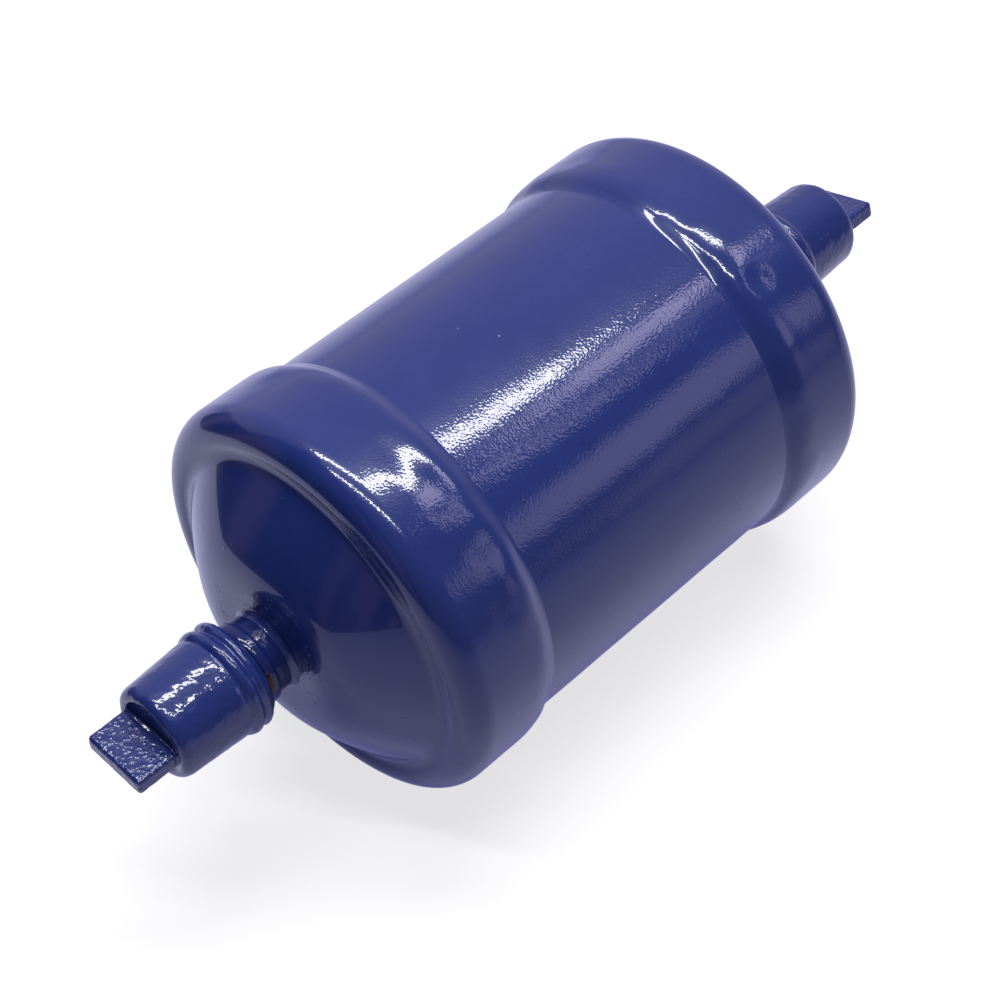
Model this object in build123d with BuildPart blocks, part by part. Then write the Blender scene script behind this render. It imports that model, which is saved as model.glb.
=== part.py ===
from build123d import *
from math import radians, sin
import os

# Filter drier for a refrigerant liquid line: a welded steel shell full of desiccant, with a flare
# connection at each end and a push-on seal cap over each one.
# The X axis is the shell's axis. The origin is at the middle of the shell, the inlet end points
# along -X and the outlet end along +X. All sizes are in millimetres and degrees.

# Barrel: a plain tube that both end caps slip over
barrel_diameter = 63.6
barrel_wall = 1.5
barrel_length = 76.0

# End caps: drawn cups with a straight skirt, a round rim, a shallow valley and a low dome
rim_overhang = 5.4
skirt_fit = 0.05
cap_sheet = 1.55
skirt_reach = 16.2
skirt_edge_round = 0.6
rim_round = 4.2
rim_turn = 12.0
valley_round = 3.0
flank_angle = 40.0
shoulder_angle = 30.0
shoulder_round = 16.8
crown_flat_diameter = 18.2

# Welds: a fillet round each skirt and a smaller one at the foot of each fitting
girth_weld_leg = 1.6
neck_weld_leg = 1.3
weld_shy = 0.15

# Flare fittings, quarter-inch size: neck, shoulder ring, thread and 45 degree seat
neck_diameter = 12.2
neck_fit = 0.05
neck_stub = 0.8
neck_length = 3.2
bore_diameter = 4.8
shoulder_ring_diameter = 13.4
shoulder_ring_width = 1.8
shoulder_ring_chamfer = 0.4
thread_diameter = 11.1
thread_length = 10.4
thread_relief_depth = 0.7
thread_relief_width = 1.5
nose_diameter = 6.9

# Seal caps: moulded cups with a rolled lip, a tapered body and a flat pull tab
lip_gap = 0.2
bore_gap = 0.15
nose_gap = 0.4
lip_diameter = 17.5
lip_width = 4.3
lip_back_round = 1.2
lip_front_round = 0.6
body_root_diameter = 16.0
body_tip_diameter = 14.8
tip_round = 1.6
front_wall = 2.2
tab_length = 6.7
tab_width = 10.5
tab_thickness = 3.2
tab_round = 0.6
tab_tip_round = 0.5
tab_turn = {"inlet": 2.0, "outlet": -15.0}

# Filling, from the inlet end: spring, pressure plate, pad, desiccant, pad, screen, support plate
fill_gap = 0.1
spring_wire = 1.8
spring_diameter = 16.4
spring_turns = 2
spring_seat_gap = 0.1
plate_thickness = 1.5
plate_flange = 4.0
pressure_plate_inset = 6.0
inlet_pad_thickness = 3.0
outlet_pad_thickness = 4.0
screen_thickness = 0.6
hole_diameter = 7.0
hole_pitch = 16.0
hole_rings = 1
holes_per_ring_step = 6
support_plate_fit = 0.25

# Sizes that follow from the ones above
barrel_radius = barrel_diameter / 2
barrel_bore_radius = barrel_radius - barrel_wall
skirt_bore_radius = barrel_radius + skirt_fit
band_radius = skirt_bore_radius + cap_sheet
rim_face = barrel_length / 2 + rim_overhang
skirt_end = rim_face - skirt_reach
neck_radius = neck_diameter / 2
neck_hole_radius = neck_radius + neck_fit
thread_radius = thread_diameter / 2
nose_radius = nose_diameter / 2
fill_radius = barrel_bore_radius - fill_gap


def end_plane(side):
    """Sketch plane through the axis, with its x pointing out of the shell at the given side."""
    return Plane(origin=(0, 0, 0), x_dir=(side, 0, 0), z_dir=(0, -side, 0))


def save(piece, name):
    piece.part.label = name
    export_step(piece.part, f"parts/{name}.step")


os.makedirs("parts", exist_ok=True)

# Radius where an end cap's valley meets the dome's flank, and the flank's own rounding, which is the
# one that brings the shoulder down to the flat crown
flank_start = (
    band_radius
    - rim_round * (1 + sin(radians(rim_turn)))
    - valley_round * (sin(radians(rim_turn)) + sin(radians(flank_angle)))
)
flank_drop = flank_start - crown_flat_diameter / 2 - shoulder_round * sin(radians(shoulder_angle))
flank_round = flank_drop / (sin(radians(flank_angle)) - sin(radians(shoulder_angle)))


def head_line(inset):
    """Draw an end cap's line from skirt edge to fitting hole, inset from the outside; give its ends."""
    skirt = Line((skirt_end, band_radius - inset), (rim_face - rim_round, band_radius - inset))
    rim = JernArc(skirt @ 1, skirt % 1, rim_round - inset, -(90 + rim_turn))
    valley = JernArc(rim @ 1, rim % 1, valley_round + inset, rim_turn + flank_angle)
    flank = JernArc(valley @ 1, valley % 1, flank_round - inset, shoulder_angle - flank_angle)
    shoulder = JernArc(flank @ 1, flank % 1, shoulder_round - inset, -shoulder_angle)
    crown = Line(shoulder @ 1, ((shoulder @ 1).X, neck_hole_radius))
    return skirt @ 0, crown @ 1


with BuildLine():
    crown_face = head_line(0)[1].X
crown_inside = crown_face - cap_sheet

# Stations of a fitting along the axis, counted out from the crown
shoulder_start = crown_face + neck_length
shoulder_end = shoulder_start + shoulder_ring_width
thread_start = shoulder_end + thread_relief_width
seat_start = thread_start + thread_length
nose_face = seat_start + (thread_radius - nose_radius)

# Barrel
with BuildPart() as barrel:
    with BuildSketch(Plane.YZ.offset(-barrel_length / 2)):
        Circle(barrel_radius)
        Circle(barrel_bore_radius, mode=Mode.SUBTRACT)
    extrude(amount=barrel_length)
save(barrel, "shell_barrel")

for side, end in ((-1, "inlet"), (1, "outlet")):
    # End cap: the sheet's section between its outside and inside lines, turned about the axis
    with BuildPart() as end_cap:
        with BuildSketch(end_plane(side)) as sheet:
            with BuildLine():
                outside_ends = head_line(0)
                inside_ends = head_line(cap_sheet)
                Line(outside_ends[0], inside_ends[0])
                Line(outside_ends[1], inside_ends[1])
            make_face()
            fillet(sheet.vertices().group_by(Axis.X)[0].sort_by(Axis.Y)[-1], skirt_edge_round)
        revolve(axis=Axis.X)
    save(end_cap, f"{end}_end_cap")

    # Girth weld: the bead that fills the step from the skirt's edge down to the barrel
    with BuildPart() as girth_weld:
        with BuildSketch(end_plane(side)):
            with BuildLine():
                root = Line((skirt_end - girth_weld_leg, barrel_radius), (skirt_end, barrel_radius))
                wall = Line(root @ 1, (skirt_end, band_radius - skirt_edge_round))
                SagittaArc(wall @ 1, root @ 0, weld_shy)
            make_face()
        revolve(axis=Axis.X)
    save(girth_weld, f"{end}_girth_weld")

    # Flare fitting: a turned piece with neck, shoulder ring, relief, thread, seat and bore
    with BuildPart() as fitting:
        with BuildSketch(end_plane(side)) as turned:
            with BuildLine():
                Polyline(
                    (crown_inside - neck_stub, bore_diameter / 2),
                    (crown_inside - neck_stub, neck_radius),
                    (shoulder_start, neck_radius),
                    (shoulder_start, shoulder_ring_diameter / 2),
                    (shoulder_end, shoulder_ring_diameter / 2),
                    (shoulder_end, thread_radius - thread_relief_depth),
                    (thread_start, thread_radius - thread_relief_depth),
                    (thread_start, thread_radius),
                    (seat_start, thread_radius),
                    (nose_face, nose_radius),
                    (nose_face, bore_diameter / 2),
                    close=True,
                )
            make_face()
            ring_corners = turned.vertices().group_by(Axis.Y)[-1]
            chamfer(ring_corners, shoulder_ring_chamfer)
        revolve(axis=Axis.X)
    save(fitting, f"{end}_flare_fitting")

    # Neck weld: the concave fillet between the crown and the fitting's neck
    with BuildPart() as neck_weld:
        with BuildSketch(end_plane(side)):
            with BuildLine():
                foot = Line((crown_face, neck_radius + neck_weld_leg), (crown_face, neck_radius))
                run = Line(foot @ 1, (crown_face + neck_weld_leg, neck_radius))
                SagittaArc(run @ 1, foot @ 0, weld_shy)
            make_face()
        revolve(axis=Axis.X)
    save(neck_weld, f"{end}_neck_weld")

    # Seal cap: a tapered cup with a rolled lip, hollow over the thread, and a pull tab in front
    lip_start = shoulder_end + lip_gap
    lip_end = lip_start + lip_width
    cap_bottom = nose_face + nose_gap
    cap_front = cap_bottom + front_wall
    cap_bore_radius = thread_radius + bore_gap
    with BuildPart() as seal_cap:
        with BuildSketch(end_plane(side)) as cup:
            with BuildLine():
                Polyline(
                    (lip_start, cap_bore_radius),
                    (lip_start, lip_diameter / 2),
                    (lip_end, lip_diameter / 2),
                    (lip_end, body_root_diameter / 2),
                    (cap_front, body_tip_diameter / 2),
                    (cap_front, 0),
                    (cap_bottom, 0),
                    (cap_bottom, cap_bore_radius),
                    close=True,
                )
            make_face()
            fillet(cup.vertices().group_by(Axis.Y)[-1].sort_by(Axis.X)[0], lip_back_round)
            fillet(cup.vertices().group_by(Axis.Y)[-1].sort_by(Axis.X)[-1], lip_front_round)
            fillet(cup.vertices().group_by(Axis.X)[-1].sort_by(Axis.Y)[-1], tip_round)
        revolve(axis=Axis.X)
        tab_across = Vector(0, 1, 0).rotate(Axis.X, tab_turn[end])
        with BuildSketch(Plane(origin=(side * cap_front, 0, 0), x_dir=tab_across, z_dir=(side, 0, 0))):
            RectangleRounded(tab_width, tab_thickness, tab_round)
        extrude(amount=tab_length)
        tab_tip = seal_cap.faces().sort_by(Axis.X)[0 if side < 0 else -1]
        fillet(tab_tip.edges(), tab_tip_round)
    save(seal_cap, f"{end}_seal_cap")

# Pressure plate and support plate: dished perforated discs that squeeze the filling between them


def hole_pattern():
    """One centre hole and rings of holes round it, as many in each ring as the pitch allows."""
    Circle(hole_diameter / 2, mode=Mode.SUBTRACT)
    for ring in range(1, hole_rings + 1):
        with PolarLocations(ring * hole_pitch, ring * holes_per_ring_step):
            Circle(hole_diameter / 2, mode=Mode.SUBTRACT)


pressure_face = -barrel_length / 2 + pressure_plate_inset
screen_start = barrel_length / 2 - screen_thickness
outlet_pad_start = screen_start - outlet_pad_thickness
desiccant_start = pressure_face + plate_thickness + inlet_pad_thickness

with BuildPart() as pressure_plate:
    with BuildSketch(Plane.YZ.offset(pressure_face)):
        Circle(fill_radius)
        hole_pattern()
    extrude(amount=plate_thickness)
    with BuildSketch(Plane.YZ.offset(pressure_face)):
        Circle(fill_radius)
        Circle(fill_radius - plate_thickness, mode=Mode.SUBTRACT)
    extrude(amount=plate_thickness - plate_flange)
save(pressure_plate, "pressure_plate")

with BuildPart() as support_plate:
    with BuildSketch(Plane.YZ.offset(barrel_length / 2)):
        Circle(barrel_radius - support_plate_fit)
        hole_pattern()
    extrude(amount=plate_thickness)
save(support_plate, "support_plate")

# Filling: two fibre pads, the packed desiccant and the fine screen before the support plate
for name, start, finish in (
    ("inlet_filter_pad", pressure_face + plate_thickness, desiccant_start),
    ("desiccant_core", desiccant_start, outlet_pad_start),
    ("outlet_filter_pad", outlet_pad_start, screen_start),
    ("outlet_screen", screen_start, barrel_length / 2),
):
    with BuildPart() as disc:
        with BuildSketch(Plane.YZ.offset(start)):
            Circle(fill_radius)
        extrude(amount=finish - start)
    save(disc, name)

# Spring: pushes the pressure plate against the filling from the inside of the inlet end cap
spring_start = -crown_inside + spring_wire / 2 + spring_seat_gap
spring_length = pressure_face - spring_seat_gap - spring_wire / 2 - spring_start
with BuildPart() as spring:
    with BuildLine() as coil:
        Helix(
            pitch=spring_length / spring_turns,
            height=spring_length,
            radius=spring_diameter / 2,
            center=(spring_start, 0, 0),
            direction=(1, 0, 0),
        )
    with BuildSketch(coil.line ^ 0):
        Circle(spring_wire / 2)
    sweep(path=coil.line, is_frenet=True)
save(spring, "pressure_spring")
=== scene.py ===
import bpy
from math import atan2, cos, pi, radians, sin, tau
from mathutils import Matrix, Vector


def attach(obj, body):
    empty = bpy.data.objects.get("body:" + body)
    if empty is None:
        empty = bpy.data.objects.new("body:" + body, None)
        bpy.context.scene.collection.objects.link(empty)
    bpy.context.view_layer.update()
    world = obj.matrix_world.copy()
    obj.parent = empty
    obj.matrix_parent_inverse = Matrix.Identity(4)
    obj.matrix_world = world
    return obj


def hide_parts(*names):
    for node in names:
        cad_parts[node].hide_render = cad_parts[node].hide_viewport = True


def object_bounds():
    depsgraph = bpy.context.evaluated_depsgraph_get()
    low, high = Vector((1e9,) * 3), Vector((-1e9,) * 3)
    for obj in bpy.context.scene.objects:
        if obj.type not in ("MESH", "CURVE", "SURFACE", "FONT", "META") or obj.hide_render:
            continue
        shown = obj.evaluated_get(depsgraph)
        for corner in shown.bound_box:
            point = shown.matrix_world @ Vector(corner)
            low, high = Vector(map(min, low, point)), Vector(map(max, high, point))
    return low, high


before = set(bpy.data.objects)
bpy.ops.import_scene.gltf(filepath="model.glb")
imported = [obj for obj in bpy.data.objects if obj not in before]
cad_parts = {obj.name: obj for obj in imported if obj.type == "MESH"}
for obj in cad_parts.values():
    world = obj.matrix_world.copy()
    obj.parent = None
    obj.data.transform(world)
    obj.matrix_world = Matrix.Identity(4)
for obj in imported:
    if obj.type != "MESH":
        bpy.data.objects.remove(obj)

cad_low, cad_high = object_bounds()

# Everything is in metres. Sizes are written in millimetres and multiplied by MM.
MM = 0.001

# Stations are counted out from the shell's middle towards either end, radii from its axis
SIDE = {"inlet": -1, "outlet": 1}

# Shell
BARREL_RADIUS = 31.8
BARREL_WALL = 1.5
BARREL_HALF = 38.0
BAND_RADIUS = 33.4
CAP_SHEET = 1.55
CAP_BORE = 31.85
SKIRT_END, SKIRT_RADIUS = 27.2, 32.42
SHOULDER_END = 31.8
RIM_START = 39.2
RIM_ROUND, RIM_TURN = 4.2, 12.0
VALLEY_ROUND = 3.0
FLANK_ANGLE, FLANK_ROUND = 40.0, 57.95
CROWN_ANGLE, CROWN_ROUND = 30.0, 16.8
CROWN_FACE = 51.99
NECK_HOLE_ROOM = 0.05

# Welds: the girth bead is tucked under the skirt, and its foot is sunk into the barrel
GIRTH_FOOT, GIRTH_TUCK, GIRTH_SINK, GIRTH_DEPTH = 25.3, 0.4, 0.07, 0.15
NECK_BEAD_LEG, NECK_BEAD_DEPTH = 0.9, 0.1

# Fitting
NECK_RADIUS = 6.1
NECK_TAIL = 2.3
RING_START, RING_END, RING_RADIUS, RING_ROUND = 55.19, 56.99, 6.7, 0.4
THREAD_START, THREAD_END, THREAD_RADIUS = 58.49, 68.89, 5.55
THREAD_PITCH, THREAD_TURNS, THREAD_ROOT, THREAD_CORE = 1.27, 7, 4.6, 4.8
NOSE_FACE, NOSE_RADIUS, BORE_RADIUS = 70.99, 3.45, 2.4

# Seal cap
LIP_START, LIP_END = 57.19, 61.49
SLEEVE_RADIUS, BODY_FOOT_RADIUS, BODY_TOP_RADIUS = 7.95, 8.12, 7.66
CAP_BOTTOM, CAP_FRONT, CAP_THREAD_BORE = 71.39, 73.59, 5.7
TAB_TIP, TAB_WIDTH, TAB_THICKNESS = 80.29, 11.1, 2.9
TAB_ROOT, TAB_ROUND = 1.6, 0.6
TAB_TURN = {"inlet": 2.0, "outlet": -17.5}
# How far each soft cap stands off its drawn place
SEAT = {"inlet": 0.1, "outlet": 0.6}

# Dents where a cap's band was squeezed on the barrel: station, turn from the top, depth, reach
DENTS = {
    "inlet": ((32.4, 13, 0.13, 4.6), (32.0, 20, 0.16, 4.4), (31.8, 27, 0.16, 4.3),
              (31.6, 34, 0.15, 4.1), (31.2, 42, 0.12, 3.8), (31.6, 60, 0.12, 4.2),
              (32.5, -30, 0.12, 5.0)),
    "outlet": ((31.3, 34, 0.28, 4.0), (31.0, 8, 0.14, 3.8), (32.5, -35, 0.12, 5.0)),
}
# Folds of a seal cap's lip: station, ring radius, roll radius, tilt and the way it tilts
FOLDS = ((60.65, 7.45, 1.28, 1.5, 40), (58.45, 7.72, 0.92, -3.2, 75), (59.5, 8.1, 0.42, 5.0, 150))
# The uneven slope between band and barrel: where it fades in, where it fades out, its lowest radius
SLOPE_IN, SLOPE_OUT, SLOPE_RADIUS = (25.5, 27.4), (34.5, 30.5), 31.75
SLOPE_GRAIN, SLOPE_DEPTH = 6.5, 0.30

# Points nearer than this are one, and edges flatter than this are shaded round
MERGE_GAP = 0.002 * MM
ROUND_ANGLE = radians(35)

# Camera
CAMERA_PLACE = Vector((-168.448, -159.675, 258.767)) * MM
CAMERA_TARGET = Vector((-5.84, -1.69, -4.59)) * MM
CAMERA_LENS, CAMERA_FILM = 81.16, 36.0

# The floor's own glow: to the camera, in mirrored light and in spread light
FLOOR_LIFT, FLOOR_LIFT_MIRRORED, FLOOR_LIFT_SPREAD = 0.74, 0.35, 0.17
# The tent's pale back wall: its direction, and the glow away from it and towards it
TENT_PALE_WAY, TENT_DIM, TENT_PALE = 60, 0.13, 0.5
# Pale seams of the tent's right wall: direction round and up, size as part of the radius, glow
TENT_SEAMS = ((331, 52.5, 0.080, 4.0), (337, 51, 0.045, 1.7), (316.5, 52, 0.035, 2.6),
              (315, 48, 0.035, 2.3), (315, 44, 0.035, 2.1), (322, 46, 0.030, 1.2),
              (327, 45, 0.035, 0.8), (304, 22, 0.15, 1.1), (303, 3, 0.11, 0.4))
# Foot of the dark curtain, and the height of the leg that starts at each place
CURTAIN_FOOT = ((-40, 200, 70), (-108, 108, 300), (-132, 80, 300), (-475, -253, 0))
# Lamps: ends, width and glow
LAMPS = {
    "back_bar": ((-95, 210, 400), (226, -85, 400), 38, 19),
    "front_bar": ((-190, 115, 400), (35, -190, 400), 20, 24),
    "roof_cloth": ((50, 150, 900), (850, 150, 900), 800, 1.0),
}


def make_camera():
    data = bpy.data.cameras.new("camera")
    data.lens, data.sensor_width, data.clip_start = CAMERA_LENS, CAMERA_FILM, 0.01
    camera = bpy.data.objects.new("camera", data)
    bpy.context.collection.objects.link(camera)
    camera.location = CAMERA_PLACE
    camera.rotation_euler = (CAMERA_PLACE - CAMERA_TARGET).to_track_quat("Z", "Y").to_euler()
    bpy.context.scene.camera = camera


make_camera()


# ---------------------------------------------------------------- modelling helpers

def take(*pieces):
    """Select these pieces alone, with the first one active."""
    bpy.ops.object.select_all(action="DESELECT")
    for piece in pieces:
        piece.select_set(True)
    bpy.context.view_layer.objects.active = pieces[0]


def outline(name, line):
    """Draw a section as a chain of edges in the XZ plane, grown from one point."""
    bpy.ops.object.select_all(action="DESELECT")
    x, r = line[0]
    bpy.ops.mesh.primitive_plane_add(size=MM, location=(x * MM, 0, r * MM))
    piece = bpy.context.object
    piece.name = name
    bpy.ops.object.transform_apply(location=True)
    bpy.ops.object.mode_set(mode="EDIT")
    bpy.ops.mesh.merge(type="CENTER")
    for (x0, r0), (x1, r1) in zip(line, line[1:]):
        step = ((x1 - x0) * MM, 0, (r1 - r0) * MM)
        bpy.ops.mesh.extrude_region_move(TRANSFORM_OT_translate={"value": step})
    return piece


def turned(name, line, steps):
    """Close a section and turn it about the shell's axis."""
    piece = outline(name, line + line[:1])
    bpy.ops.mesh.select_all(action="SELECT")
    bpy.ops.mesh.spin(steps=steps, angle=tau, center=(0, 0, 0), axis=(1, 0, 0))
    bpy.ops.mesh.select_all(action="SELECT")
    bpy.ops.mesh.remove_doubles(threshold=MERGE_GAP)
    bpy.ops.mesh.normals_make_consistent(inside=False)
    bpy.ops.object.mode_set(mode="OBJECT")
    bpy.ops.object.shade_smooth_by_angle(angle=ROUND_ANGLE)
    return piece


def on_side(end, line):
    """A section drawn for the outlet, put at the end that it is for."""
    return [(SIDE[end] * x, r) for x, r in line]


def arc_on(line, heading, radius, turn, steps):
    """Carry a line on round an arc, and give the heading that it leaves at; angles in degrees."""
    x, r = line[-1]
    way = 1 if turn > 0 else -1
    a = radians(heading)
    cx, cr = x - way * radius * sin(a), r + way * radius * cos(a)
    for i in range(1, steps + 1):
        b = a + radians(turn) * i / steps
        line.append((cx + way * radius * sin(b), cr - way * radius * cos(b)))
    return heading + turn


def run_to(line, x, r, steps):
    """Carry a line on straight, in even steps."""
    x0, r0 = line[-1]
    for i in range(1, steps + 1):
        line.append((x0 + (x - x0) * i / steps, r0 + (r - r0) * i / steps))


def curve_to(line, steps, *control):
    """Carry a line on along a cubic curve through two control points to its end."""
    p0 = line[-1]
    p1, p2, p3 = control
    for i in range(1, steps + 1):
        t = i / steps
        w = ((1 - t) ** 3, 3 * t * (1 - t) ** 2, 3 * t * t * (1 - t), t ** 3)
        line.append(tuple(sum(k * p[j] for k, p in zip(w, (p0, p1, p2, p3))) for j in (0, 1)))


def smooth_step(a, b, x):
    t = min(1.0, max(0.0, (x - a) / (b - a)))
    return t * t * (3 - 2 * t)


def weigh(piece, group_name, weight_at):
    """Give each point of a piece a weight in a group, by its place in millimetres."""
    group = piece.vertex_groups.new(name=group_name)
    for v in piece.data.vertices:
        weight = weight_at(*(v.co / MM))
        if weight > 0:
            group.add([v.index], weight, "REPLACE")


def ripple(piece, grain, depth, group="", middle=0.5, detail=2):
    """Push a piece's surface in and out by a cloudy noise: grain and depth in millimetres."""
    noise = bpy.data.textures.new("ripple", "CLOUDS")
    noise.noise_scale, noise.noise_depth = grain * MM, detail
    push = piece.modifiers.new("ripple", "DISPLACE")
    push.texture, push.texture_coords = noise, "LOCAL"
    push.strength, push.mid_level, push.vertex_group = depth * MM, middle, group
    bpy.context.view_layer.objects.active = piece
    bpy.ops.object.modifier_apply(modifier=push.name)


def dent(piece, x, turn, radius, depth, reach):
    """Press one place in towards the axis; turn goes from the top towards the camera's side."""
    a = radians(turn)
    outward = Vector((0, -sin(a), cos(a)))
    place = Vector((x, 0, 0)) * MM + outward * radius * MM
    take(piece)
    nearest = min(piece.data.vertices, key=lambda v: (v.co - place).length_squared).index
    bpy.ops.object.mode_set(mode="EDIT")
    bpy.ops.mesh.select_all(action="DESELECT")
    bpy.ops.object.mode_set(mode="OBJECT")
    piece.data.vertices[nearest].select = True
    bpy.ops.object.mode_set(mode="EDIT")
    bpy.ops.transform.translate(
        value=outward * -depth * MM, use_proportional_edit=True,
        proportional_edit_falloff="SMOOTH", proportional_size=reach * MM)
    bpy.ops.object.mode_set(mode="OBJECT")


# ---------------------------------------------------------------- finishes

def colour(code):
    """An sRGB hex colour as Blender's linear values."""
    parts = [int(code[i:i + 2], 16) / 255 for i in (1, 3, 5)]
    return [c / 12.92 if c <= 0.04045 else ((c + 0.055) / 1.055) ** 2.4 for c in parts] + [1.0]


def put(tree, kind, values=None, links=None, **settings):
    """Add a node with its settings, its input values and the outputs that feed it."""
    made = tree.nodes.new("ShaderNode" + kind)
    for name, value in settings.items():
        setattr(made, name, value)
    for name, value in (values or {}).items():
        made.inputs[name].default_value = value
    for name, output in (links or {}).items():
        tree.links.new(output, made.inputs[name])
    return made


def blank(name):
    """A new material with nothing on it yet, and the place that its patterns are read at."""
    material = bpy.data.materials.new(name)
    material.use_nodes = True
    tree = material.node_tree
    tree.nodes.clear()
    place = put(tree, "TexCoord").outputs["Object"]
    return material, tree, place


def per_mm(size):
    """Noise or cell scale whose grain is this many millimetres across."""
    return 1.0 / (size * MM)


def bands_per_mm(spacing):
    """Wave scale whose bands lie this many millimetres apart: at 1 they are tau / 20 apart."""
    return tau / 20 * per_mm(spacing)


def limits(low, high, at_low, at_high):
    """Input values that take a level from one span to another."""
    return {"From Min": low, "From Max": high, "To Min": at_low, "To Max": at_high}


SOFTLY = {"interpolation_type": "SMOOTHSTEP"}


def enamel(name, wave, wave_size, grain, grain_size, calm_radius=0.0, pitted=False, pebbled=False):
    """Baked gloss enamel: a deep blue film with a clear top. Wave and grain are the depths in
    millimetres of its slow ripple and its orange peel; inside calm_radius it lay down smoother.
    Pitted, it has craters round the neck, without the clear top and with their floors painted near
    black as painted shade; pebbled, it has small lumps on the tab."""
    material, tree, place = blank(name)
    cloud = put(tree, "TexNoise", {"Scale": per_mm(12), "Detail": 7.0, "Roughness": 0.7},
                {"Vector": place}).outputs["Fac"]
    tint = put(tree, "ValToRGB", links={"Fac": cloud})
    deep, light = tint.color_ramp.elements
    deep.position, deep.color = 0.22, colour("#223379")
    light.position, light.color = 0.78, colour("#283a84")
    shine = put(tree, "MapRange", limits(0.15, 0.85, 0.20, 0.29), {"Value": cloud}, **SOFTLY)
    fed = {"Base Color": tint.outputs["Color"], "Roughness": shine.outputs["Result"]}
    parts = put(tree, "SeparateXYZ", links={"Vector": place})
    across = put(tree, "CombineXYZ", links={"Y": parts.outputs["Y"], "Z": parts.outputs["Z"]})
    radius = put(tree, "VectorMath", links={0: across.outputs[0]}, operation="LENGTH")
    radius = radius.outputs["Value"]

    slow = put(tree, "TexNoise", {"Scale": per_mm(wave_size), "Detail": 1.0}, {"Vector": place})
    peel = put(tree, "TexNoise", {"Scale": per_mm(grain_size), "Detail": 0.0}, {"Vector": place})
    waves = put(tree, "Bump", {"Distance": wave * MM, "Strength": 1.0},
                {"Height": slow.outputs["Fac"]})
    relief = put(tree, "Bump", {"Distance": grain * MM, "Strength": 1.0},
                 {"Height": peel.outputs["Fac"], "Normal": waves.outputs["Normal"]})
    if calm_radius:
        calm = put(tree, "MapRange", limits((calm_radius - 1.1) * MM, calm_radius * MM, 0.08, 1.0),
                   {"Value": radius}, **SOFTLY)
        for bump in (waves, relief):
            tree.links.new(calm.outputs["Result"], bump.inputs["Strength"])

    # Grit that the paint dried over, a speck in each 6.5 mm
    grit = put(tree, "TexVoronoi", {"Scale": per_mm(6.5)}, {"Vector": place})
    nibs = put(tree, "MapRange", limits(0.02, 0.05, 1.0, 0.0),
               {"Value": grit.outputs["Distance"]}, **SOFTLY)
    relief = put(tree, "Bump", {"Distance": 0.05 * MM, "Strength": 1.0},
                 {"Height": nibs.outputs["Result"], "Normal": relief.outputs["Normal"]})
    if pebbled:
        along = put(tree, "Math", links={0: parts.outputs["X"]}, operation="ABSOLUTE")
        tab = put(tree, "MapRange", limits(74.4 * MM, 74.9 * MM, 0.0, 1.0),
                  {"Value": along.outputs[0]}, **SOFTLY)
        cells = put(tree, "TexVoronoi", {"Scale": per_mm(0.72)}, {"Vector": place})
        lumps = put(tree, "MapRange", limits(0.1, 0.55, 1.0, 0.0),
                    {"Value": cells.outputs["Distance"]}, **SOFTLY)
        relief = put(tree, "Bump", {"Distance": 0.06 * MM},
                     {"Height": lumps.outputs["Result"], "Strength": tab.outputs["Result"],
                      "Normal": relief.outputs["Normal"]})
    if pitted:
        near_neck = put(tree, "MapRange", limits(8.5 * MM, 14.0 * MM, 1.0, 0.0),
                        {"Value": radius}, **SOFTLY)
        spread = put(tree, "TexNoise", {"Scale": per_mm(4.0), "Detail": 2.0}, {"Vector": place})
        patches = put(tree, "MapRange", limits(0.50, 0.58, 0.0, 1.0),
                      {"Value": spread.outputs["Fac"]}, **SOFTLY)
        cells = put(tree, "TexVoronoi", {"Scale": per_mm(0.75)}, {"Vector": place})
        craters = put(tree, "MapRange", limits(0.16, 0.30, 1.0, 0.0),
                      {"Value": cells.outputs["Distance"]}, **SOFTLY)
        pits = put(tree, "Math", operation="MULTIPLY",
                   links={0: near_neck.outputs["Result"], 1: patches.outputs["Result"]})
        pits = put(tree, "Math", operation="MULTIPLY",
                   links={0: pits.outputs[0], 1: craters.outputs["Result"]}).outputs[0]
        relief = put(tree, "Bump", {"Distance": 0.12 * MM, "Strength": 1.0},
                     {"Height": pits, "Normal": relief.outputs["Normal"]}, invert=True)
        # Painted shade: the craters' floors are darkened to near black
        dark = put(tree, "Mix", {"B": colour("#0b0f2e")},
                   {"Factor": pits, "A": fed["Base Color"]}, data_type="RGBA")
        fed["Base Color"] = dark.outputs["Result"]
        fed["Coat Weight"] = put(tree, "Math", {0: 1.0}, {1: pits}, operation="SUBTRACT").outputs[0]
    fed["Normal"] = fed["Coat Normal"] = relief.outputs["Normal"]
    film = put(tree, "BsdfPrincipled",
               {"Specular IOR Level": 0.25, "Coat Weight": 1.0, "Coat Roughness": 0.035}, fed)
    put(tree, "OutputMaterial", links={"Surface": film.outputs["BSDF"]})
    return material


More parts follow.
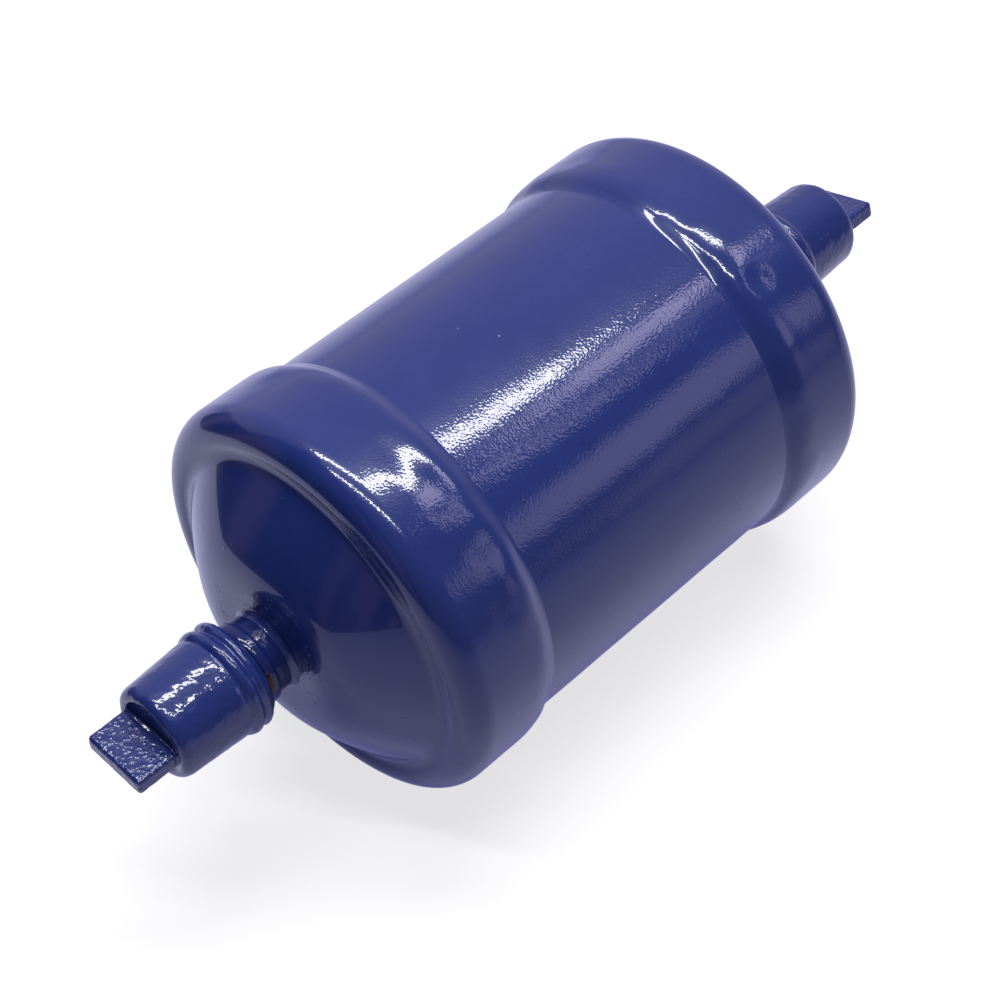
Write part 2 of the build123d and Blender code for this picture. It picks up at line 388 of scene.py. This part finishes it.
def overpainted_brass():
    """Turned brass that took the shell's enamel on its neck only: blue and wrinkled up to the seal
    cap, in a blue darker than the shell's as painted shade between dome and seal cap, with one bare
    brown place, and clean yellow metal with fine turning lines under the cap."""
    material, tree, place = blank("turned_brass_with_enamel_on_its_neck")
    parts = put(tree, "SeparateXYZ", links={"Vector": place})
    along = put(tree, "Math", links={0: parts.outputs["X"]}, operation="ABSOLUTE").outputs[0]
    ragged = put(tree, "TexNoise", {"Scale": per_mm(1.6), "Detail": 3.0},
                 {"Vector": place}).outputs["Fac"]
    edge = put(tree, "Math", {1: 1.2 * MM}, {0: ragged, 2: along}, operation="MULTIPLY_ADD")
    capped = put(tree, "MapRange", limits(57.7 * MM, 57.9 * MM, 0.0, 1.0),
                 {"Value": edge.outputs[0]}, **SOFTLY)
    # The bare place is a narrow strip round the neck, so lengths along the axis count threefold
    squeezed = put(tree, "VectorMath", {1: (3, 1, 1)}, {0: place}, operation="MULTIPLY")
    strip = put(tree, "VectorMath", {1: Vector((-170.6, -6.4, 1.9)) * MM},
                {0: squeezed.outputs[0]}, operation="DISTANCE")
    strip = put(tree, "Math", {1: 2.4 * MM}, {0: ragged, 2: strip.outputs["Value"]},
                operation="MULTIPLY_ADD")
    worn = put(tree, "MapRange", limits(2.7 * MM, 3.2 * MM, 1.0, 0.0),
               {"Value": strip.outputs[0]}, **SOFTLY).outputs["Result"]
    bare = put(tree, "Math", links={0: capped.outputs["Result"], 1: worn},
               operation="MAXIMUM").outputs[0]
    brass = put(tree, "Mix", {"A": colour("#c9a35a"), "B": colour("#4e3a2a")}, {"Factor": worn},
                data_type="RGBA")
    # Painted shade: the neck's blue is darker than the shell's enamel, for the shade between dome
    # and seal cap
    skin = put(tree, "Mix", {"A": colour("#1b2969")},
               {"Factor": bare, "B": brass.outputs["Result"]}, data_type="RGBA")
    # A cutter leaves lines a tenth as far apart, too fine to show, so they are drawn coarser
    lines = put(tree, "TexWave", {"Scale": bands_per_mm(0.691), "Distortion": 0.3},
                {"Vector": place}, bands_direction="X")
    wrinkles = put(tree, "TexNoise", {"Scale": per_mm(0.9), "Detail": 2.0}, {"Vector": place})
    heights = put(tree, "Mix", data_type="FLOAT", links={
        "Factor": bare, "A": wrinkles.outputs["Fac"], "B": lines.outputs["Fac"]})
    depth = put(tree, "MapRange", limits(0.0, 1.0, 1.0, 0.12), {"Value": bare}, **SOFTLY)
    relief = put(tree, "Bump", {"Distance": 0.06 * MM},
                 {"Height": heights.outputs["Result"], "Strength": depth.outputs["Result"]})
    rough = put(tree, "MapRange", limits(0.0, 1.0, 0.10, 0.30), {"Value": bare}, **SOFTLY)
    metal = put(tree, "BsdfPrincipled", links={
        "Base Color": skin.outputs["Result"], "Metallic": bare,
        "Roughness": rough.outputs["Result"], "Normal": relief.outputs["Normal"]})
    put(tree, "OutputMaterial", links={"Surface": metal.outputs["BSDF"]})
    return material


def steel(name, base, dull_tone_and_gap_shade, rough, pattern, size, depth):
    """Bare steel or wire: grey metal whose tone and height follow one pattern of the given size."""
    material, tree, place = blank(name)
    if pattern == "spangle":
        mark = put(tree, "TexVoronoi", {"Scale": per_mm(size)}, {"Vector": place}).outputs["Color"]
    elif pattern == "weave":
        # For the weave, the darker tone between the crossing wires is painted shade in the gaps
        warp, weft = (put(tree, "TexWave", {"Scale": bands_per_mm(size)}, {"Vector": place},
                          bands_direction=way).outputs["Fac"] for way in "YZ")
        mark = put(tree, "Math", links={0: warp, 1: weft}, operation="MAXIMUM").outputs[0]
    else:
        mark = put(tree, "TexNoise", {"Scale": per_mm(size), "Detail": 4.0},
                   {"Vector": place}).outputs["Fac"]
    tone = put(tree, "Mix", {"A": colour(dull_tone_and_gap_shade), "B": colour(base)}, {"Factor": mark},
               data_type="RGBA")
    relief = put(tree, "Bump", {"Distance": depth * MM, "Strength": 1.0}, {"Height": mark})
    metal = put(tree, "BsdfPrincipled", {"Metallic": 1.0, "Roughness": rough},
                {"Base Color": tone.outputs["Result"], "Normal": relief.outputs["Normal"]})
    put(tree, "OutputMaterial", links={"Surface": metal.outputs["BSDF"]})
    return material


def filling(name, base, shade, rough, pattern, size, depth):
    """Dry filling, matt all over: round beads as cells, or felt as a fine tangle."""
    material, tree, place = blank(name)
    if pattern == "beads":
        cells = put(tree, "TexVoronoi", {"Scale": per_mm(size)}, {"Vector": place})
        mark = put(tree, "MapRange", limits(0.0, 0.7, 1.0, 0.0),
                   {"Value": cells.outputs["Distance"]}, **SOFTLY).outputs["Result"]
    else:
        mark = put(tree, "TexNoise", {"Scale": per_mm(size), "Detail": 6.0, "Distortion": 1.5},
                   {"Vector": place}).outputs["Fac"]
    tone = put(tree, "Mix", {"A": colour(shade), "B": colour(base)}, {"Factor": mark},
               data_type="RGBA")
    relief = put(tree, "Bump", {"Distance": depth * MM, "Strength": 1.0}, {"Height": mark})
    matt = put(tree, "BsdfPrincipled", {"Roughness": rough},
               {"Base Color": tone.outputs["Result"], "Normal": relief.outputs["Normal"]})
    put(tree, "OutputMaterial", links={"Surface": matt.outputs["BSDF"]})
    return material


def dress(piece, material):
    piece.data.materials.clear()
    piece.data.materials.append(material)


# Rolled tube: an orange peel of a third of a millimetre breaks every bright streak into sparks
barrel_enamel = enamel("baked_enamel_on_rolled_steel", 0.010, 1.4, 0.016, 0.34)
# Drawn caps: the same peel on the band, and a dome on which reflections keep sharp edges
cap_enamel = enamel("baked_enamel_on_drawn_steel", 0.008, 1.4, 0.013, 0.34,
                    calm_radius=33.3, pitted=True)
# Soft plastic: the paint stood thick on it and dried in small lumps
thick_enamel = enamel("enamel_flooded_over_soft_plastic", 0.05, 0.9, 0.006, 0.4, pebbled=True)
neck_brass = overpainted_brass()
# Spring wire: a plain grey with faint darker scale
spring_wire = steel("drawn_spring_wire", "#a9abae", "#7d7f83", 0.32, "scale", 0.8, 0.01)
# Plated sheet: zinc spangles, each with its own grey
plated_sheet = steel("punched_zinc_plated_sheet", "#c3c5c8", "#a3a5a9", 0.34,
                     "spangle", 5.0, 0.003)
# Wire cloth: crossing wires a millimetre apart so that they show, with painted shade darkening the
# gaps between them
wire_cloth = steel("woven_wire_cloth", "#b4b4b2", "#5f6062", 0.38, "weave", 0.986, 0.06)
# Beads: pale sand-coloured balls with brown shadow between them
packed_beads = filling("packed_ceramic_beads", "#d6c6a4", "#8c7b5e", 0.85, "beads", 2.4, 0.5)
# Felt: cream fibres in a tangle, dull from every side
fibre_felt = filling("bonded_glass_fibre_felt", "#e6e0c6", "#bdb595", 0.95, "tangle", 1.2, 0.25)

for node_name, finish in (
        ("pressure_spring", spring_wire),
        ("pressure_plate", plated_sheet), ("support_plate", plated_sheet),
        ("outlet_screen", wire_cloth),
        ("desiccant_core", packed_beads),
        ("inlet_filter_pad", fibre_felt), ("outlet_filter_pad", fibre_felt)):
    dress(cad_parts[node_name], finish)


# ---------------------------------------------------------------- shell pieces

def open_barrel_weight(x, y, z):
    """The barrel's outside, as far as the girth beads leave it bare."""
    return 1.0 if y * y + z * z > 31 ** 2 and abs(x) < 26 else 0.0


def make_barrel():
    """A rolled tube that runs on under both skirts, a tenth of a millimetre out of true."""
    inner = BARREL_RADIUS - BARREL_WALL
    line = [(-BARREL_HALF, BARREL_RADIUS)]
    run_to(line, BARREL_HALF, BARREL_RADIUS, 90)
    line += [(BARREL_HALF, inner), (-BARREL_HALF, inner)]
    tube = turned("painted_barrel", line, steps=288)
    weigh(tube, "outside", open_barrel_weight)
    ripple(tube, 14, 0.10, "outside")
    return tube


def slope_weight(x, y, z):
    """How far a point belongs to the uneven slope between a cap's band and the barrel."""
    if y * y + z * z < SLOPE_RADIUS ** 2:
        return 0.0
    return smooth_step(*SLOPE_IN, abs(x)) * smooth_step(*SLOPE_OUT, abs(x))


def make_end_cap(end):
    """A drawn cup: skirt, round rim, valley and low dome, with its inside one sheet lower."""
    line = [(SKIRT_END, CAP_BORE)]
    run_to(line, SKIRT_END, SKIRT_RADIUS, 3)
    curve_to(line, 18, (27.9, 32.82), (28.6, BAND_RADIUS), (SHOULDER_END, BAND_RADIUS))
    run_to(line, RIM_START, BAND_RADIUS, 16)
    heading = arc_on(line, 0, RIM_ROUND, -(90 + RIM_TURN), 26)
    heading = arc_on(line, heading, VALLEY_ROUND, RIM_TURN + FLANK_ANGLE, 32)
    heading = arc_on(line, heading, FLANK_ROUND, CROWN_ANGLE - FLANK_ANGLE, 12)
    arc_on(line, heading, CROWN_ROUND, -CROWN_ANGLE, 16)
    run_to(line, line[-1][0], NECK_RADIUS + NECK_HOLE_ROOM, 6)
    inside = [(SKIRT_END, CAP_BORE), (RIM_START, CAP_BORE)]
    heading = arc_on(inside, 0, RIM_ROUND - CAP_SHEET, -(90 + RIM_TURN), 8)
    heading = arc_on(inside, heading, VALLEY_ROUND + CAP_SHEET, RIM_TURN + FLANK_ANGLE, 6)
    heading = arc_on(inside, heading, FLANK_ROUND - CAP_SHEET, CROWN_ANGLE - FLANK_ANGLE, 4)
    arc_on(inside, heading, CROWN_ROUND - CAP_SHEET, -CROWN_ANGLE, 6)
    inside.append((inside[-1][0], NECK_RADIUS + NECK_HOLE_ROOM))
    line += inside[:0:-1]
    cap = turned(f"{end}_drawn_cap", on_side(end, line), steps=360)
    for x, turn, depth, reach in DENTS[end]:
        dent(cap, SIDE[end] * x, turn, BAND_RADIUS, depth, reach)
    weigh(cap, "slope", slope_weight)
    ripple(cap, SLOPE_GRAIN, SLOPE_DEPTH, "slope", detail=1)
    return cap


def make_girth_weld(end):
    """A low bead from the skirt down to the barrel, as uneven as the skirt that it meets."""
    tuck, floor_radius = SKIRT_END + GIRTH_TUCK, BARREL_RADIUS - GIRTH_DEPTH
    line = [(tuck, 32.3), (SKIRT_END + 0.02, SKIRT_RADIUS + 0.01)]
    curve_to(line, 10, (26.5, 32.03), (26.1, BARREL_RADIUS),
             (GIRTH_FOOT, BARREL_RADIUS - GIRTH_SINK))
    line += [(GIRTH_FOOT, floor_radius), (tuck, floor_radius)]
    bead = turned(f"{end}_girth_bead", on_side(end, line), steps=360)
    weigh(bead, "slope", slope_weight)
    ripple(bead, SLOPE_GRAIN, SLOPE_DEPTH, "slope", detail=1)
    return bead


# ---------------------------------------------------------------- fittings and seal caps

def join(whole, *others):
    take(whole, *others)
    bpy.ops.object.join()


def make_thread(end):
    """The ridge of a right-hand thread, sunk into the fitting's core, closed at both ends."""
    start = THREAD_START + 0.5 if end == "outlet" else -THREAD_END + 0.9
    line = [(start, THREAD_ROOT), (start + 0.47, THREAD_RADIUS), (start + 0.67, THREAD_RADIUS),
            (start + 1.14, THREAD_ROOT)]
    ridge = outline(f"{end}_thread_ridge", line + line[:1])
    bpy.ops.mesh.select_all(action="SELECT")
    bpy.ops.mesh.remove_doubles(threshold=MERGE_GAP)
    bpy.ops.object.mode_set(mode="OBJECT")
    wind = ridge.modifiers.new("wind", "SCREW")
    wind.axis, wind.angle, wind.steps, wind.render_steps = "X", tau, 48, 48
    wind.screw_offset, wind.iterations = THREAD_PITCH * MM, THREAD_TURNS
    bpy.context.view_layer.objects.active = ridge
    bpy.ops.object.modifier_apply(modifier=wind.name)
    bpy.ops.object.mode_set(mode="EDIT")
    bpy.ops.mesh.select_all(action="SELECT")
    bpy.ops.mesh.remove_doubles(threshold=MERGE_GAP)
    bpy.ops.mesh.select_all(action="DESELECT")
    bpy.ops.mesh.select_non_manifold()
    bpy.ops.mesh.fill_holes(sides=0)
    bpy.ops.mesh.select_all(action="SELECT")
    bpy.ops.mesh.normals_make_consistent(inside=False)
    bpy.ops.object.mode_set(mode="OBJECT")
    return ridge


def make_fitting(end):
    """Neck, ring, threaded core and flare nose on one bore, with the thread's ridge wound on."""
    tail = CROWN_FACE - NECK_TAIL
    line = [(tail, BORE_RADIUS), (tail, NECK_RADIUS)]
    run_to(line, RING_START - 0.25, NECK_RADIUS, 14)
    curve_to(line, 4, (RING_START - 0.1, NECK_RADIUS), (RING_START, NECK_RADIUS + 0.1),
             (RING_START, RING_RADIUS - RING_ROUND))
    curve_to(line, 4, (RING_START, RING_RADIUS - 0.15), (RING_START + 0.15, RING_RADIUS),
             (RING_START + RING_ROUND, RING_RADIUS))
    run_to(line, RING_END - RING_ROUND, RING_RADIUS, 4)
    line += [(RING_END - 0.1, RING_RADIUS - 0.1), (RING_END, RING_RADIUS - RING_ROUND)]
    line += [(RING_END, THREAD_CORE + 0.05), (THREAD_START, THREAD_CORE + 0.05)]
    line += [(THREAD_END, THREAD_CORE), (THREAD_END + 0.7, THREAD_CORE)]
    line += [(NOSE_FACE - 0.15, NOSE_RADIUS), (NOSE_FACE, NOSE_RADIUS - 0.15)]
    line += [(NOSE_FACE, BORE_RADIUS + 0.2), (NOSE_FACE - 0.2, BORE_RADIUS)]
    fitting = turned(f"{end}_flare_union", on_side(end, line), steps=120)
    join(fitting, make_thread(end))
    bpy.ops.object.shade_smooth_by_angle(angle=ROUND_ANGLE)
    return fitting


def make_neck_weld(end):
    """A hollow-faced fillet round the neck's foot, lumpy under its paint."""
    leg, foot, buried = NECK_BEAD_LEG, CROWN_FACE - 0.06, NECK_RADIUS - NECK_BEAD_DEPTH
    line = [(foot, NECK_RADIUS + leg)]
    curve_to(line, 10, (CROWN_FACE + 0.1, NECK_RADIUS + 0.5 * leg),
             (CROWN_FACE + 0.5 * leg, NECK_RADIUS + 0.12), (CROWN_FACE + leg, NECK_RADIUS + 0.01))
    line += [(CROWN_FACE + leg, buried), (foot, buried)]
    bead = turned(f"{end}_neck_bead", on_side(end, line), steps=200)
    ripple(bead, 1.6, 0.10, middle=0.6)
    return bead


def make_cup(end):
    """The seal cap's hollow tapered cup, without its folds and tab."""
    line = [(LIP_START + 0.2, CAP_THREAD_BORE), (LIP_START, CAP_THREAD_BORE + 0.3)]
    run_to(line, LIP_START, 7.2, 3)
    curve_to(line, 8, (LIP_START, 7.6), (LIP_START + 0.4, SLEEVE_RADIUS),
             (LIP_START + 1.2, SLEEVE_RADIUS))
    run_to(line, LIP_END - 0.6, SLEEVE_RADIUS, 6)
    run_to(line, LIP_END + 0.9, BODY_FOOT_RADIUS, 4)
    run_to(line, CAP_FRONT - 1.9, BODY_TOP_RADIUS, 20)
    curve_to(line, 10, (CAP_FRONT - 0.7, 7.6), (CAP_FRONT, 7.1), (CAP_FRONT - 0.1, 6.0))
    line += [(CAP_FRONT - 0.5, 5.3), (CAP_FRONT - 0.6, 0)]
    line += [(CAP_BOTTOM, 0), (CAP_BOTTOM, CAP_THREAD_BORE)]
    return turned(f"{end}_painted_cap", on_side(end, line), steps=160)


def make_folds(end):
    """The lip's rolls: a thick one, a thin one and a crease's edge, each tilted its own way."""
    folds = []
    for x, ring, roll, tilt, turn in FOLDS:
        bpy.ops.object.select_all(action="DESELECT")
        bpy.ops.mesh.primitive_torus_add(
            major_radius=ring * MM, minor_radius=roll * MM, major_segments=96, minor_segments=20,
            rotation=(0, radians(90 + tilt), 0))
        fold = bpy.context.object
        bpy.ops.object.transform_apply(rotation=True)
        fold.location, fold.rotation_euler = (SIDE[end] * x * MM, 0, 0), (radians(turn), 0, 0)
        bpy.ops.object.transform_apply(location=True, rotation=True)
        folds.append(fold)
    return folds


def make_tab(end):
    """The flat pull tab, rooted in the cup's closed end."""
    bpy.ops.object.select_all(action="DESELECT")
    root = CAP_FRONT - TAB_ROOT
    bpy.ops.mesh.primitive_cube_add(
        size=1, location=(SIDE[end] * (root + TAB_TIP) / 2 * MM, 0, 0),
        rotation=(radians(TAB_TURN[end]), 0, 0),
        scale=((TAB_TIP - root) * MM, TAB_WIDTH * MM, TAB_THICKNESS * MM))
    tab = bpy.context.object
    bpy.ops.object.transform_apply(location=True, rotation=True, scale=True)
    bpy.ops.object.mode_set(mode="EDIT")
    bpy.ops.mesh.select_all(action="SELECT")
    bpy.ops.mesh.bevel(offset=TAB_ROUND * MM, segments=5, affect="EDGES")
    bpy.ops.object.mode_set(mode="OBJECT")
    return tab


def body_weight(x, y, z):
    return 1.0 if LIP_END < abs(x) < CAP_FRONT else 0.0


def lip_weight(x, y, z):
    """The outside of the lip, fading out on the cup's body."""
    return smooth_step(63.2, 61.0, abs(x)) if y * y + z * z > 49 else 0.0


def tab_weight(x, y, z):
    return smooth_step(CAP_FRONT, CAP_FRONT + 0.5, abs(x))


def make_seal_cap(end):
    """A soft cap under thick paint: cup, folds and tab flow into one skin, which then sags."""
    cup = make_cup(end)
    folds = make_folds(end)
    join(cup, make_tab(end), *folds)
    skin = cup.modifiers.new("skin", "REMESH")
    skin.mode, skin.voxel_size, skin.use_smooth_shade = "VOXEL", 0.16 * MM, True
    soften = cup.modifiers.new("soften", "SMOOTH")
    soften.factor, soften.iterations = 0.5, 3
    bpy.ops.object.modifier_apply(modifier="skin")
    bpy.ops.object.modifier_apply(modifier="soften")
    weigh(cup, "body", body_weight)
    weigh(cup, "lip", lip_weight)
    weigh(cup, "tab", tab_weight)
    ripple(cup, 2.6, 0.16, "body")
    ripple(cup, 2.2, 0.18, "lip", middle=0.55)
    ripple(cup, 1.1, 0.10, "tab")
    take(cup)
    cup.location = (SIDE[end] * SEAT[end] * MM, 0, 0)
    bpy.ops.object.transform_apply(location=True)
    return cup


barrel = make_barrel()
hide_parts("shell_barrel")
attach(barrel, "drier")
dress(barrel, barrel_enamel)
for end in SIDE:
    for piece, stands_for, body, slot, material in (
            (make_end_cap(end), "end_cap", "drier", "shell_paint", cap_enamel),
            (make_girth_weld(end), "girth_weld", "drier", "shell_paint", cap_enamel),
            (make_fitting(end), "flare_fitting", "drier", "fitting_brass", neck_brass),
            (make_neck_weld(end), "neck_weld", "drier", "shell_paint", thick_enamel),
            (make_seal_cap(end), "seal_cap", f"{end}_cap", "cap_plastic", thick_enamel)):
        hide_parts(f"{end}_{stands_for}")
        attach(piece, body)
        dress(piece, material)

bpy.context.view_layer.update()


# ---------------------------------------------------------------- floor, tent, curtain and lamps

def make_floor():
    """A sheet of matt white paper. To the camera it glows up to white and keeps its shadows; in
    mirrored and spread light it glows less, and a little blue."""
    bpy.ops.object.select_all(action="DESELECT")
    bpy.ops.mesh.primitive_plane_add(size=4, location=(0, 0, cad_low[2]))
    floor = bpy.context.object
    floor.name = "studio_floor"
    material, tree, _ = blank("matt_white_sheet")
    paper = put(tree, "BsdfDiffuse", {"Color": colour("#b9b9c4")})
    path = put(tree, "LightPath")
    mirrored = put(tree, "Math", operation="MAXIMUM", links={
        0: path.outputs["Is Glossy Ray"], 1: path.outputs["Is Transmission Ray"]})
    mirrored = put(tree, "Math", {1: FLOOR_LIFT_MIRRORED}, {0: mirrored.outputs[0]},
                   operation="MULTIPLY")
    spread = put(tree, "Math", {1: FLOOR_LIFT_SPREAD},
                 {0: path.outputs["Is Diffuse Ray"], 2: mirrored.outputs[0]},
                 operation="MULTIPLY_ADD")
    lift = put(tree, "Math", {1: FLOOR_LIFT}, {0: path.outputs["Is Camera Ray"]},
               operation="MULTIPLY")
    glow = put(tree, "Emission", {"Color": colour("#ffffff")}, {"Strength": lift.outputs[0]})
    bounce = put(tree, "Emission", {"Color": colour("#b0aeff")}, {"Strength": spread.outputs[0]})
    both = put(tree, "AddShader", links={0: paper.outputs[0], 1: glow.outputs[0]})
    both = put(tree, "AddShader", links={0: both.outputs[0], 1: bounce.outputs[0]})
    put(tree, "OutputMaterial", links={"Surface": both.outputs[0]})
    dress(floor, material)


def show_in_reflections_only(thing):
    thing.visible_camera = thing.visible_diffuse = thing.visible_shadow = False
    thing.visible_transmission = thing.visible_volume_scatter = False


def make_tent():
    """Walls and roof of pale cloth, dim towards the camera's side and with bright seams."""
    bpy.ops.object.select_all(action="DESELECT")
    bpy.ops.mesh.primitive_uv_sphere_add(segments=64, ring_count=32, radius=1.0)
    tent = bpy.context.object
    tent.name = "studio_tent"
    material, tree, place = blank("tent_cloth")
    pale_way = (cos(radians(TENT_PALE_WAY)), sin(radians(TENT_PALE_WAY)), 0)
    way = put(tree, "VectorMath", {1: pale_way}, {0: place}, operation="DOT_PRODUCT")
    glow = put(tree, "MapRange", limits(-0.25, 0.75, TENT_DIM, TENT_PALE),
               {"Value": way.outputs["Value"]}, **SOFTLY).outputs["Result"]
    for azimuth, height, reach, strength in TENT_SEAMS:
        a, e = radians(azimuth), radians(height)
        gap = put(tree, "VectorMath", {1: (cos(e) * cos(a), cos(e) * sin(a), sin(e))},
                  {0: place}, operation="DISTANCE")
        seam = put(tree, "MapRange", limits(reach * 1.25, reach * 0.7, 0.0, strength),
                   {"Value": gap.outputs["Value"]}, **SOFTLY)
        glow = put(tree, "Math", links={0: glow, 1: seam.outputs["Result"]},
                   operation="ADD").outputs[0]
    cloth = put(tree, "Emission", {"Color": colour("#f1e6ff")}, {"Strength": glow})
    put(tree, "OutputMaterial", links={"Surface": cloth.outputs[0]})
    material.cycles.emission_sampling = "NONE"
    dress(tent, material)
    show_in_reflections_only(tent)


def make_curtain():
    """Dim curtain along the floor's left edge: the domes mirror its foot and its upright folds."""
    material, tree, place = blank("dim_purple_curtain")
    stretched = put(tree, "VectorMath", {1: (1, 1, 0.3)}, {0: place}, operation="MULTIPLY")
    shapes = put(tree, "TexNoise", {"Scale": per_mm(60), "Detail": 2.0},
                 {"Vector": stretched.outputs[0]})
    folds = put(tree, "MapRange", limits(0.42, 0.70, 0.0, 1.0),
                {"Value": shapes.outputs["Fac"]}, **SOFTLY)
    tone = put(tree, "Mix", {"A": colour("#15121f"), "B": colour("#7d6470")},
               {"Factor": folds.outputs["Result"]}, data_type="RGBA")
    cloth = put(tree, "Emission", {"Strength": 1.0}, {"Color": tone.outputs["Result"]})
    put(tree, "OutputMaterial", links={"Surface": cloth.outputs[0]})
    material.cycles.emission_sampling = "NONE"
    for (ax, ay, height), (bx, by, _) in zip(CURTAIN_FOOT, CURTAIN_FOOT[1:]):
        bpy.ops.object.select_all(action="DESELECT")
        bpy.ops.mesh.primitive_plane_add(size=1)
        card = bpy.context.object
        card.name = "studio_side_card"
        leg = Vector((bx - ax, by - ay)) * MM
        card.scale = (leg.length, height * MM, 1)
        card.rotation_euler = (radians(90), 0, atan2(leg.y, leg.x))
        card.location = ((ax + bx) / 2 * MM, (ay + by) / 2 * MM, cad_low[2] + height * MM / 2)
        bpy.ops.object.transform_apply(location=True, rotation=True, scale=True)
        dress(card, material)
        show_in_reflections_only(card)


def make_lamp(name):
    """A flat lamp from one end to the other, turned towards the shell's middle."""
    start, end, width, glow = LAMPS[name]
    a, b = Vector(start) * MM, Vector(end) * MM
    data = bpy.data.lights.new(name, "AREA")
    data.shape, data.size, data.size_y = "RECTANGLE", (b - a).length, width * MM
    data.energy = glow * pi * data.size * data.size_y
    lamp = bpy.data.objects.new(name, data)
    bpy.context.collection.objects.link(lamp)
    along = (b - a).normalized()
    down = -((a + b) / 2).normalized()
    across = along.cross(down).normalized()
    facing = Matrix((along, across, along.cross(across))).transposed()
    lamp.rotation_euler = facing.to_euler()
    lamp.location = (a + b) / 2
    lamp.visible_camera = False
    return lamp


def make_world():
    """White behind everything for the camera, and next to no light of its own."""
    world = bpy.data.worlds.new("soft_studio")
    world.use_nodes = True
    sky = world.node_tree
    sky.nodes.clear()
    path = put(sky, "LightPath")
    level = put(sky, "MapRange", {"To Min": 0.04, "To Max": 1.0},
                {"Value": path.outputs["Is Camera Ray"]})
    back = put(sky, "Background", {"Color": colour("#ffffff")},
               {"Strength": level.outputs["Result"]})
    put(sky, "OutputWorld", links={"Surface": back.outputs[0]})
    bpy.context.scene.world = world


make_floor()
make_tent()
make_curtain()
make_lamp("back_bar")
make_lamp("front_bar")
make_lamp("roof_cloth").visible_glossy = False
make_world()
bpy.context.scene.view_settings.view_transform = "Standard"
